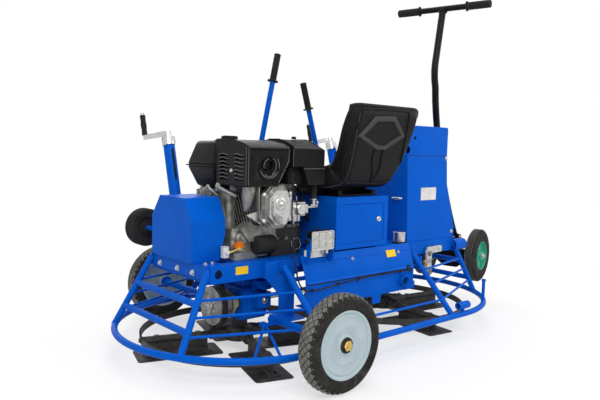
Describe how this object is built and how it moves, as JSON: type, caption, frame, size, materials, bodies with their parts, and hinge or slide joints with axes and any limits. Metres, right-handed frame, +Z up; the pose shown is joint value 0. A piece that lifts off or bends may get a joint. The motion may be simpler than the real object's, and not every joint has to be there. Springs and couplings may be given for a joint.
{
  "type": "ride-on power trowel",
  "caption": "Ride-on power trowel with turning bladed rotors under an oblong tube guard, engine, seat, levers, pitch cranks and transport wheels.",
  "frame": {"origin": "on the floor, under the middle of the box round the whole machine", "axes": "+X along the machine to the operator's right, +Y forwards, away from the seat's back, +Z up"},
  "size_m": [2.1942, 1.3346, 1.619],
  "materials": {
    "blue_paint": "glossy blue paint over steel",
    "black_paint": "black paint over steel",
    "black_plastic": "satin black moulded plastic",
    "rubber": "black rubber",
    "tyre": "dusty block-tread rubber",
    "grey_paint": "pale grey paint",
    "green_wheel": "green painted wheel centre in a ribbed tyre",
    "steel": "bright worn steel",
    "dark_steel": "dark worn steel with concrete dust",
    "cast_metal": "cast metal",
    "orange_plastic": "orange plastic",
    "black_fabric": "black padded cover"
  },
  "bodies": {
    "machine": {"deck_frame": "blue_paint", "rear_panel": "blue_paint", "guard_ring": "blue_paint", "guard_left": "blue_paint", "guard_right": "blue_paint", "belt_guard": "blue_paint", "seat_box": "blue_paint", "right_tower": "blue_paint", "crank_post_left": "blue_paint", "crank_post_right": "blue_paint", "seat_slide": "black_paint", "engine_block": "cast_metal", "muffler_guard": "black_paint", "fuel_tank": "black_paint", "air_cleaner": "black_plastic", "drive_belt": "rubber", "gearbox_left": "blue_paint", "gearbox_right": "blue_paint", "wheel_leg_near": "blue_paint", "wheel_leg_far": "blue_paint", "dolly_bracket": "black_paint", "throttle_cable": "rubber"},
    "rotor_left": {"spider_left": "dark_steel", "band_ring_left": "dark_steel"},
    "blade_left_1": {"blade_left_1": "dark_steel"},
    "blade_left_2": {"blade_left_2": "dark_steel"},
    "blade_left_3": {"blade_left_3": "dark_steel"},
    "blade_left_4": {"blade_left_4": "dark_steel"},
    "rotor_right": {"spider_right": "dark_steel", "band_ring_right": "dark_steel"},
    "blade_right_1": {"blade_right_1": "dark_steel"},
    "blade_right_2": {"blade_right_2": "dark_steel"},
    "blade_right_3": {"blade_right_3": "dark_steel"},
    "blade_right_4": {"blade_right_4": "dark_steel"},
    "cross_shaft": {"cross_shaft": "steel"},
    "clutch": {"clutch_pulley": "steel"},
    "wheel_near": {"tyre_near": "tyre", "disc_near": "grey_paint"},
    "wheel_far": {"tyre_far": "tyre", "disc_far": "grey_paint"},
    "roller": {"front_roller": "rubber"},
    "dolly": {"dolly_axle": "black_paint"},
    "small_wheel_near": {"small_wheel_near": "green_wheel"},
    "small_wheel_far": {"small_wheel_far": "green_wheel"},
    "handle": {"tow_handle": "black_paint"},
    "lever_left": {"lever_left": "blue_paint"},
    "lever_right": {"lever_right": "blue_paint"},
    "crank_left": {"crank_left": "steel"},
    "crank_grip_left": {"crank_grip_left": "rubber"},
    "crank_right": {"crank_right": "steel"},
    "crank_grip_right": {"crank_grip_right": "rubber"},
    "door": {"box_door": "blue_paint"},
    "lock": {"door_lock": "steel"},
    "seat": {"seat_shell": "black_plastic", "seat_cushion": "black_fabric"},
    "fuel_cap": {"fuel_cap": "black_plastic"},
    "oil_cap": {"oil_cap": "orange_plastic"},
    "recoil_grip": {"recoil_grip": "rubber"},
    "lamp": {"work_lamp": "black_plastic"},
    "tower_knob": {"tower_knob": "black_plastic"}
  },
  "joints": [
    {"name": "rotor_left_spin", "type": "hinge", "parent": "machine", "child": "rotor_left", "pos_m": [-0.58196, 0, 0.066], "axis": [0, 0, 1], "continuous": true},
    {"name": "blade_left_1_pitch", "type": "hinge", "parent": "rotor_left", "child": "blade_left_1", "pos_m": [-0.49425, 0.28689, 0.066], "axis": [0.2924, 0.9563, 0], "range_deg": [0, 20]},
    {"name": "blade_left_2_pitch", "type": "hinge", "parent": "rotor_left", "child": "blade_left_2", "pos_m": [-0.86885, 0.08771, 0.066], "axis": [-0.9563, 0.2924, 0], "range_deg": [0, 20]},
    {"name": "blade_left_3_pitch", "type": "hinge", "parent": "rotor_left", "child": "blade_left_3", "pos_m": [-0.66967, -0.28689, 0.066], "axis": [-0.2924, -0.9563, 0], "range_deg": [0, 20]},
    {"name": "blade_left_4_pitch", "type": "hinge", "parent": "rotor_left", "child": "blade_left_4", "pos_m": [-0.29507, -0.08771, 0.066], "axis": [0.9563, -0.2924, 0], "range_deg": [0, 20]},
    {"name": "rotor_right_spin", "type": "hinge", "parent": "machine", "child": "rotor_right", "pos_m": [0.32804, 0, 0.066], "axis": [0, 0, 1], "continuous": true},
    {"name": "blade_right_1_pitch", "type": "hinge", "parent": "rotor_right", "child": "blade_right_1", "pos_m": [0.28629, -0.29708, 0.066], "axis": [-0.1392, -0.9903, 0], "range_deg": [0, 20]},
    {"name": "blade_right_2_pitch", "type": "hinge", "parent": "rotor_right", "child": "blade_right_2", "pos_m": [0.62512, -0.04175, 0.066], "axis": [0.9903, -0.1392, 0], "range_deg": [0, 20]},
    {"name": "blade_right_3_pitch", "type": "hinge", "parent": "rotor_right", "child": "blade_right_3", "pos_m": [0.36979, 0.29708, 0.066], "axis": [0.1392, 0.9903, 0], "range_deg": [0, 20]},
    {"name": "blade_right_4_pitch", "type": "hinge", "parent": "rotor_right", "child": "blade_right_4", "pos_m": [0.03096, 0.04175, 0.066], "axis": [-0.9903, 0.1392, 0], "range_deg": [0, 20]},
    {"name": "cross_shaft_spin", "type": "hinge", "parent": "machine", "child": "cross_shaft", "pos_m": [-0.12696, -0.06, 0.212], "axis": [1, 0, 0], "continuous": true},
    {"name": "clutch_spin", "type": "hinge", "parent": "machine", "child": "clutch", "pos_m": [-0.74696, 0.037, 0.537], "axis": [1, 0, 0], "continuous": true},
    {"name": "wheel_near_spin", "type": "hinge", "parent": "machine", "child": "wheel_near", "pos_m": [-0.60196, -0.626, 0.175], "axis": [0, 1, 0], "continuous": true},
    {"name": "wheel_far_spin", "type": "hinge", "parent": "machine", "child": "wheel_far", "pos_m": [-0.60196, 0.626, 0.175], "axis": [0, 1, 0], "continuous": true},
    {"name": "roller_spin", "type": "hinge", "parent": "machine", "child": "roller", "pos_m": [-0.82696, 0.37, 0.484], "axis": [0, 1, 0], "continuous": true},
    {"name": "dolly_steer", "type": "hinge", "parent": "machine", "child": "dolly", "pos_m": [0.91504, 0, 0.326], "axis": [0, 0, 1], "range_deg": [-28, 0]},
    {"name": "small_wheel_near_spin", "type": "hinge", "parent": "dolly", "child": "small_wheel_near", "pos_m": [0.95254, -0.1504, 0.266], "axis": [0.2419, -0.9703, 0], "continuous": true},
    {"name": "small_wheel_far_spin", "type": "hinge", "parent": "dolly", "child": "small_wheel_far", "pos_m": [0.87755, 0.1504, 0.266], "axis": [0.2419, -0.9703, 0], "continuous": true},
    {"name": "handle_tilt", "type": "hinge", "parent": "dolly", "child": "handle", "pos_m": [0.96938, 0.01355, 0.352], "axis": [0.2419, -0.9703, 0], "range_deg": [-95, 0]},
    {"name": "lever_left_swing", "type": "hinge", "parent": "machine", "child": "lever_left", "pos_m": [-0.39096, 0.232, 0.448], "axis": [1, 0, 0], "range_deg": [-15, 10]},
    {"name": "lever_right_swing", "type": "hinge", "parent": "machine", "child": "lever_right", "pos_m": [0.17804, 0.232, 0.448], "axis": [1, 0, 0], "range_deg": [-15, 10]},
    {"name": "crank_left_turn", "type": "hinge", "parent": "machine", "child": "crank_left", "pos_m": [-0.72696, 0.352, 0.878], "axis": [0, 0.2587, 0.966], "range_deg": [0, 1800]},
    {"name": "crank_grip_left_spin", "type": "hinge", "parent": "crank_left", "child": "crank_grip_left", "pos_m": [-0.79445, 0.4478, 0.92481], "axis": [0, 0.2587, 0.966], "continuous": true},
    {"name": "crank_right_turn", "type": "hinge", "parent": "machine", "child": "crank_right", "pos_m": [0.26504, 0.352, 0.878], "axis": [0, 0.2587, 0.966], "range_deg": [0, 1800]},
    {"name": "crank_grip_right_spin", "type": "hinge", "parent": "crank_right", "child": "crank_grip_right", "pos_m": [0.19755, 0.4478, 0.92481], "axis": [0, 0.2587, 0.966], "continuous": true},
    {"name": "door_hinge", "type": "hinge", "parent": "machine", "child": "door", "pos_m": [-0.25996, -0.262, 0.524], "axis": [0, 0, -1], "range_deg": [0, 90]},
    {"name": "lock_turn", "type": "hinge", "parent": "door", "child": "lock", "pos_m": [-0.01496, -0.262, 0.537], "axis": [0, 1, 0], "range_deg": [0, 90]},
    {"name": "seat_slide_travel", "type": "slide", "parent": "machine", "child": "seat", "axis": [0, 1, 0], "range_m": [-0.05, 0]},
    {"name": "fuel_cap_turn", "type": "hinge", "parent": "machine", "child": "fuel_cap", "pos_m": [-0.58196, 0.088, 0.876], "axis": [0, 0, 1], "range_deg": [0, 90]},
    {"name": "oil_cap_turn", "type": "hinge", "parent": "machine", "child": "oil_cap", "pos_m": [-0.68896, -0.128, 0.457], "axis": [0, 1, 0], "range_deg": [0, 720]},
    {"name": "recoil_pull", "type": "slide", "parent": "machine", "child": "recoil_grip", "axis": [0, -1, 0], "range_m": [0, 0.22], "stiffness_N_per_m": 40},
    {"name": "lamp_tilt", "type": "hinge", "parent": "machine", "child": "lamp", "pos_m": [-0.39696, -0.296, 0.475], "axis": [1, 0, 0], "range_deg": [-25, 25]},
    {"name": "tower_knob_turn", "type": "hinge", "parent": "machine", "child": "tower_knob", "pos_m": [0.55504, -0.15, 0.888], "axis": [1, 0, 0], "range_deg": [0, 270]}
  ],
  "couplings": [
    {"joint": "blade_left_1_pitch", "follows": "crank_left_turn", "ratio": 0.011111},
    {"joint": "blade_left_2_pitch", "follows": "crank_left_turn", "ratio": 0.011111},
    {"joint": "blade_left_3_pitch", "follows": "crank_left_turn", "ratio": 0.011111},
    {"joint": "blade_left_4_pitch", "follows": "crank_left_turn", "ratio": 0.011111},
    {"joint": "rotor_right_spin", "follows": "rotor_left_spin", "ratio": -1},
    {"joint": "blade_right_1_pitch", "follows": "crank_right_turn", "ratio": 0.011111},
    {"joint": "blade_right_2_pitch", "follows": "crank_right_turn", "ratio": 0.011111},
    {"joint": "blade_right_3_pitch", "follows": "crank_right_turn", "ratio": 0.011111},
    {"joint": "blade_right_4_pitch", "follows": "crank_right_turn", "ratio": 0.011111},
    {"joint": "cross_shaft_spin", "follows": "rotor_left_spin", "ratio": 20},
    {"joint": "clutch_spin", "follows": "rotor_left_spin", "ratio": 31}
  ]
}
